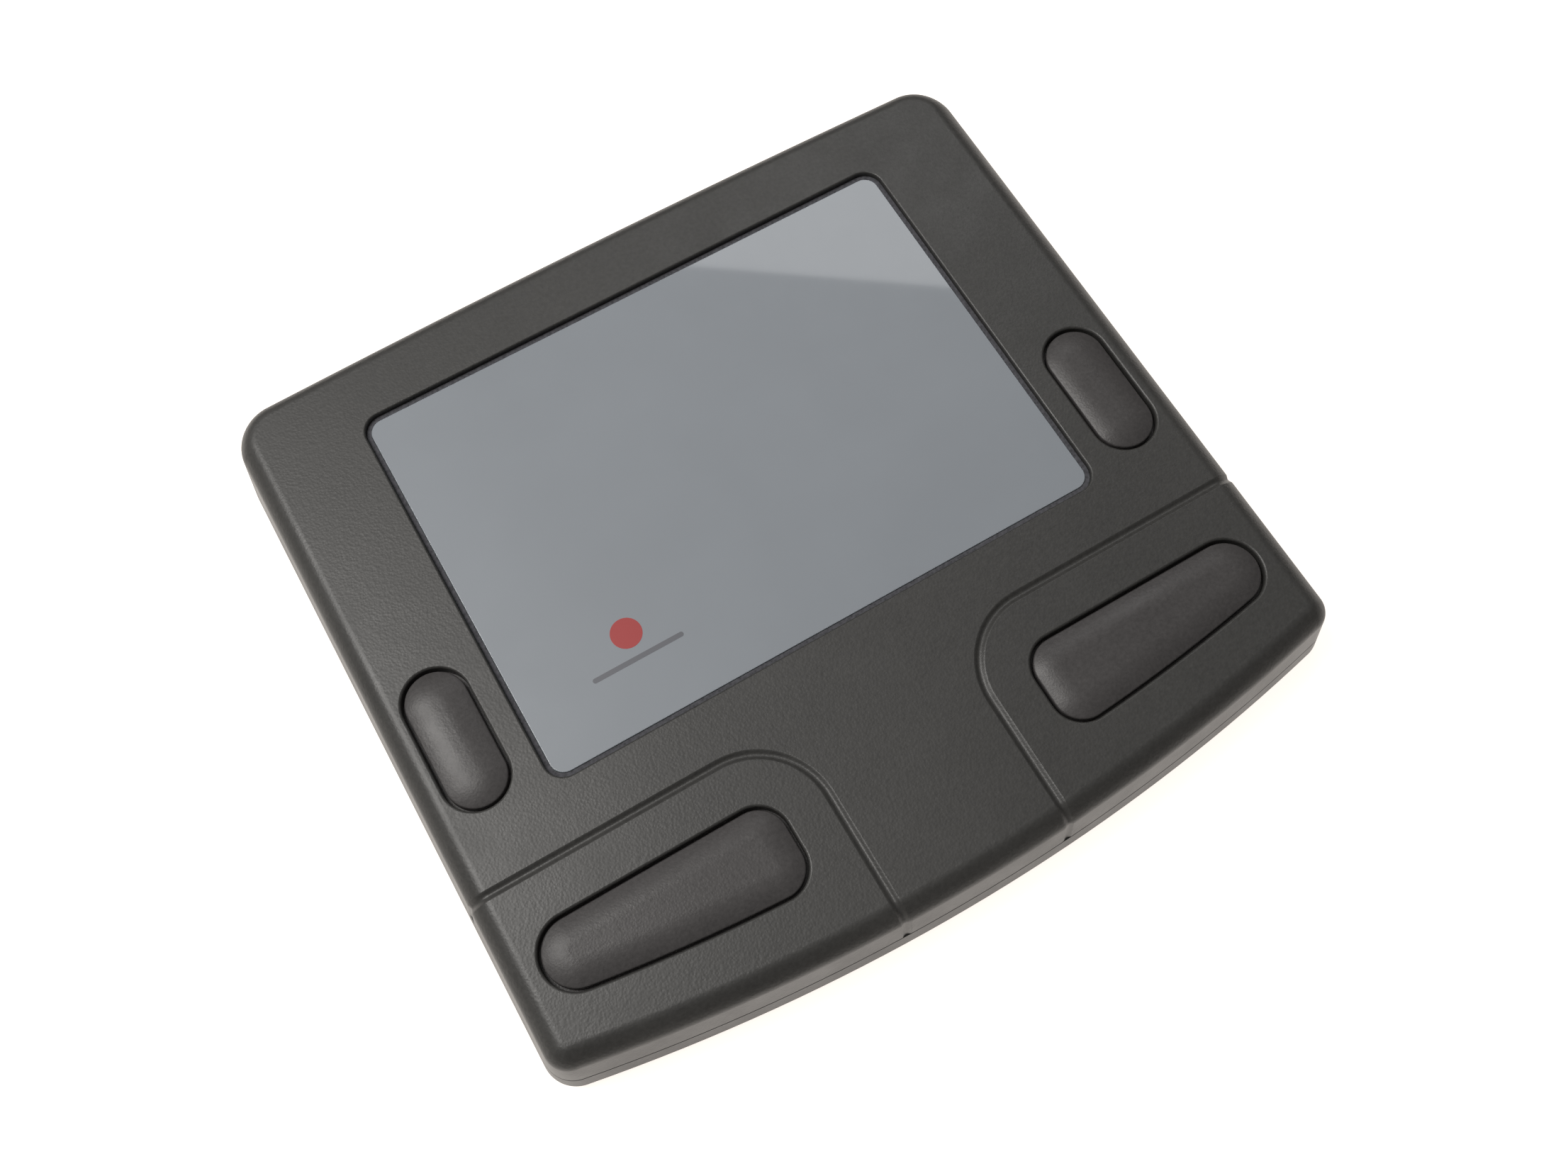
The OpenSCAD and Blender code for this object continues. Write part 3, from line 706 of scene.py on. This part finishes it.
def make_bottom():
    steps = 12
    edge = SEAM_EDGE
    rings = []
    for k in range(steps + 1):
        t = BASE_ROUND * (1 - math.cos(math.radians(90 * k / steps)))
        inset = drawn_in(t, BASE_ROUND)
        lean = inset + leant_in(BASE + t)
        rings.append(ring(case_outline(lean, lean, inset), BASE + t))
    for a in (0, 30, 60, 90):
        rad = math.radians(a)
        z = PART_LINE - edge * (1 - math.sin(rad))
        inset = edge * (1 - math.cos(rad))
        rings.append(ring(case_outline(inset + leant_in(z), inset + leant_in(z), inset), z))
    shell = loft("case_base", rings)
    combine(shell, [prism(cavity(0), FLOOR, PART_LINE + PAST)])
    lip_low = PART_LINE - 1.2
    lip = prism(cavity(LIP_GAP), lip_low, PART_LINE + 1.3)
    combine(lip, [prism(cavity(-0.3), lip_low, PART_LINE - 0.4)], "UNION")
    combine(lip, [prism(cavity(LIP_GAP + 1), PART_LINE - 2, PART_LINE + 2.3)])
    posts = [lip]
    low, rib_top = FLOOR - JOIN, FLOOR + RIB_HIGH
    posts += [disc(at, SCREW_POST_R, low, PART_LINE + 0.2) for at in CASE_SCREWS]
    posts += [disc(at, BOARD_POST_R, low, BOARD_POST_TOP) for at in BOARD_SCREWS]
    posts += [disc(at, PILLAR_R, low, PILLAR_TOP) for at in PILLARS]
    posts += [
        block((-30, y - RIB_HALF_W, low), (30, y + RIB_HALF_W, rib_top)) for y in (2, 30)
    ]
    posts += [
        block((x - RIB_HALF_W, 2, low), (x + RIB_HALF_W, 30, rib_top)) for x in (-30, 30)
    ]
    combine(shell, posts, "UNION")
    holes = []
    for at in CASE_SCREWS:
        holes.append(underside_hole(at, HEAD_R, 2, 0.25, 48))
        holes.append(disc(at, SHANK_R, BASE + 1, BASE + 6, 32))
    holes += [disc(at, BOARD_PILOT_R, BASE + 0.8, BASE + 5, 24) for at in BOARD_SCREWS]
    holes += [underside_hole(at, FOOT_POCKET_R, 0.6, 0.2, 64) for at in FEET]
    gap = 0.6
    lw, ld = label_high.x - label_low.x + gap, label_high.y - label_low.y + gap
    ly = (label_high.y + label_low.y) / 2

    def label_outline(grow):
        return round_rect(lw + 2 * grow, ld + 2 * grow, 2 + grow, (0, ly), 8)

    holes.append(flared(label_outline, BASE + 0.25, BASE, 0.12, -1))
    combine(shell, holes)
    tidy(shell)
    piece(shell, "case", finish["case_plastic"], "case_plastic", "bottom_shell")


make_bottom()


# ---------------------------------------------------------------- keys


def key_cap(name, outline_at, reach):
    """Cap with an eased rim and a crown that falls away evenly towards it on all sides."""
    ease, last, turns = 0.3, 75, 5
    skirt = outline_at(-KEY_GAP)
    rings = [ring(skirt, FLANGE_LOW + 0.2), ring(skirt, KEY_RIM - ease)]
    for k in range(1, turns + 1):
        a = math.radians(last * k / turns)
        inset = ease * (1 - math.cos(a))
        rings.append(ring(outline_at(-KEY_GAP - inset), KEY_RIM - ease * (1 - math.sin(a))))
    start = ease * (1 - math.cos(math.radians(last)))
    base = KEY_RIM - ease * (1 - math.sin(math.radians(last)))
    steps = 16
    for k in range(1, steps + 1):
        s = k / steps
        inset = start + (reach - start) * s
        z = base + (KEY_TOP - base) * (1 - (1 - s) ** 2)
        rings.append(ring(outline_at(-KEY_GAP - inset), z))
    return loft(name, rings)


FRONT_PEGS = [(-50.6, -37.2), (-26.2, -38.4)]
SIDE_PEGS = [(SIDE_KEY_X, SIDE_KEY_Y + 7.4), (SIDE_KEY_X, SIDE_KEY_Y - 7.4)]
PEG_R = 1.2


def make_key(name, outline_at, reach, pegs, nub, side, polish):
    """side is -1 for the left keys and 1 for their mirror images on the right. reach is how far
    in from the rim the crown goes on rising, nub the place of the peg over the switch, and
    polish the place and radius of the patch that a finger has worn smooth."""
    cap = key_cap(name, lambda g: on_side(side, outline_at(g)), reach)

    def peg(at, low, high):
        return disc((-side * at[0], at[1]), PEG_R, low, high, 32)

    extra = [prism(on_side(side, outline_at(FLANGE)), FLANGE_LOW, FLANGE_LOW + FLANGE_T)]
    extra += [peg(at, KEY_LEG_LOW, FLANGE_LOW + JOIN) for at in pegs]
    extra.append(peg(nub, FLANGE_LOW - 0.05, FLANGE_LOW + FLANGE_T / 2))
    combine(cap, extra, "UNION")
    tidy(cap)
    x, y, radius = polish
    material = key_plastic(name + " plastic", (-side * x, y, radius))
    piece(cap, name, material, "key_plastic", name)


for side, word in ((-1, "left"), (1, "right")):
    make_key("key_front_" + word, front_key_outline, 3.9, FRONT_PEGS, (-38.2, -38.2), side,
             (-38.0, -38.0, 16))
    make_key("key_side_" + word, side_key_outline, 4.2, SIDE_PEGS, (SIDE_KEY_X, SIDE_KEY_Y), side,
             (SIDE_KEY_X, SIDE_KEY_Y, 11))


def make_dome(word):
    """The snap dome of one switch: a thin cap which, on the real switch, flattens as its key goes
    down; here it keeps its resting shape.
    """
    low, high = node_box("dome_" + word)
    at = ((low.x + high.x) / 2, (low.y + high.y) / 2)
    rise, radius = high.z - low.z, (high.x - low.x) / 2
    outside = (radius**2 + rise**2) / (2 * rise)  # radius of the ball that it is a cap of
    inside = outside - 0.12
    ball_z = low.z + rise - outside
    steps = 10
    rings = []
    for r, order in ((inside, range(1, steps + 1)), (outside, range(steps, 0, -1))):
        last = math.acos((outside - rise) / r)
        for k in order:
            a = last * k / steps
            rings.append(ring(arc(at, r * math.sin(a), 0, 360, 40)[:-1], ball_z + r * math.cos(a)))
    dome = loft("snap_" + word, rings)
    tidy(dome)
    piece(dome, "case", finish["plated_steel"], "plated_steel", "dome_" + word)
    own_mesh(dome)


for word in ("front_left", "front_right", "side_left", "side_right"):
    make_dome(word)


# ---------------------------------------------------------------- touch surface


def make_pad():
    """The film, its edge eased, with a plain generic mark printed on it."""
    ease = 0.12
    rings = [ring(pad_outline(0), pad_low.z), ring(pad_outline(0), pad_high.z - ease)]
    for a in (30, 60, 90):
        rad = math.radians(a)
        inset = ease * (1 - math.cos(rad))
        rings.append(ring(pad_outline(-inset), pad_high.z - ease * (1 - math.sin(rad))))
    pad = loft("touch_film", rings)
    tidy(pad)
    piece(pad, "case", finish["pad_film"], "pad_film", "pad_overlay")
    ink_low, ink_high = pad_high.z - 0.02, pad_high.z + 0.012
    dot = disc((-25.5, -1.9), 2.3, ink_low, ink_high, 48, "mark_dot")
    bar = prism(round_rect(14.2, 0.75, 0.37, (-25.7, -5.9), 6), ink_low, ink_high, "mark_bar")
    for obj, colour in ((dot, (0.42, 0.03, 0.03)), (bar, (0.13, 0.135, 0.155))):
        tidy(obj)
        piece(obj, "case", film(obj.name + " ink", colour, 0.42, 0.9), "pad_film")


def pad_outline(grow):
    return round_rect(PAD_W + 2 * grow, PAD_D + 2 * grow, PAD_CORNER + grow, (0, PAD_Y), 14)


make_pad()


# ---------------------------------------------------------------- camera, floor and light

scene = bpy.context.scene
scene.view_settings.view_transform = "Standard"


def make_camera():
    """Looks down from the front left, as a hand-held camera over a table would."""
    azimuth, elevation, roll = math.radians(-28.57), math.radians(68.95), math.radians(-1.8)
    target = Vector((-3.18, -7.22, pad_high.z)) * MM
    distance = 216.5 * MM
    back = Vector(
        (
            math.sin(azimuth) * math.cos(elevation),
            -math.cos(azimuth) * math.cos(elevation),
            math.sin(elevation),
        )
    )
    right = Vector((math.cos(azimuth), math.sin(azimuth), 0))
    up = back.cross(right)
    turned_right = right * math.cos(roll) + up * math.sin(roll)
    turned_up = back.cross(turned_right)
    camera = bpy.data.objects.new("camera", bpy.data.cameras.new("camera"))
    scene.collection.objects.link(camera)
    axes = Matrix((turned_right, turned_up, back)).transposed()
    camera.matrix_world = Matrix.Translation(target + back * distance) @ axes.to_4x4()
    camera.data.lens = 35.38
    camera.data.sensor_width = 36
    camera.data.clip_start, camera.data.clip_end = 0.01, 20
    scene.camera = camera


def make_floor():
    """A pale table, lit past white, so that its warm glow reaches the walls of the case."""
    n = Nodes("table paint")
    n.join(
        n.colours(n.noise(60, 3, 0.5), (0.50, 0.49, 0.47), (0.54, 0.53, 0.51)),
        n.shader.inputs["Base Color"],
    )
    n.set(Roughness=0.9, Emission_Color=(1.0, 0.93, 0.87, 1), Emission_Strength=0.98)
    size = 2600
    floor = prism(arc((0, 0), size, 0, 360, 96)[:-1], -3, 0, "table")
    floor.data.materials.append(n.material)


def area_light(name, size, radiance):
    """A rectangular light of a given brightness, still to be placed; size in millimetres."""
    data = bpy.data.lights.new(name, "AREA")
    data.shape = "RECTANGLE"
    data.size, data.size_y = size[0] * MM, size[1] * MM
    data.energy = radiance * math.pi * data.size * data.size_y
    light = bpy.data.objects.new(name, data)
    scene.collection.objects.link(light)
    return light


def softbox():
    """A large warm light high up on the left, which gives the case its sheen."""
    light = area_light("left softbox", (270, 380), 8.3)
    light.data.color = (1.0, 0.98, 0.95)
    place, aim = Vector((-278, 200, 600)) * MM, Vector((-20, 0, 0)) * MM
    light.location = place
    light.rotation_mode = "QUATERNION"
    light.rotation_quaternion = (aim - place).to_track_quat("-Z", "Y")


def window_pane():
    """A bright pane whose near edge shows as a slanting line in the touch surface."""
    height = 600
    start, end = Vector((163.6, 390.3)), Vector((291.4, 297.2))
    along = (end - start).normalized()
    away = Vector((-along.y, along.x))
    depth = 170
    centre = (start + end) / 2 + away * depth / 2
    light = area_light("window pane", (300, depth), 2.9)
    light.location = Vector((centre.x, centre.y + PAD_Y, height + pad_high.z)) * MM
    light.rotation_euler = (0, 0, math.atan2(along.y, along.x))


def make_world():
    """A room: a bright ceiling, brighter to the left, over a dim band along the horizon that is
    deeper in front, where the person with the camera stands."""
    world = bpy.data.worlds.new("room")
    scene.world = world
    world.use_nodes = True
    tree = world.node_tree
    shade = tree.nodes["Background"]

    def node(kind, **settings):
        made = tree.nodes.new(kind)
        for key, value in settings.items():
            setattr(made, key, value)
        return made

    def rise(value, from_low, from_high, low, high):
        made = node("ShaderNodeMapRange", interpolation_type="SMOOTHSTEP")
        limits = {"From Min": from_low, "From Max": from_high, "To Min": low, "To Max": high}
        for key, number in limits.items():
            made.inputs[key].default_value = number
        tree.links.new(value, made.inputs["Value"])
        return made.outputs["Result"]

    def times(a, b):
        made = node("ShaderNodeMath", operation="MULTIPLY")
        tree.links.new(a, made.inputs[0])
        tree.links.new(b, made.inputs[1])
        return made.outputs["Value"]

    split = node("ShaderNodeSeparateXYZ")
    tree.links.new(node("ShaderNodeTexCoord").outputs["Generated"], split.inputs["Vector"])
    ceiling = rise(split.outputs["Z"], 0.25, 0.85, 0.06, 0.57)
    sideways = rise(split.outputs["X"], -0.4, 0.3, 1.25, 0.7)
    front = rise(split.outputs["Y"], -0.8, 0.7, 0.2, 1.1)
    tree.links.new(times(times(ceiling, sideways), front), shade.inputs["Strength"])
    shade.inputs["Color"].default_value = (1.0, 0.985, 0.96, 1)


make_camera()
make_floor()
make_world()
softbox()
window_pane()
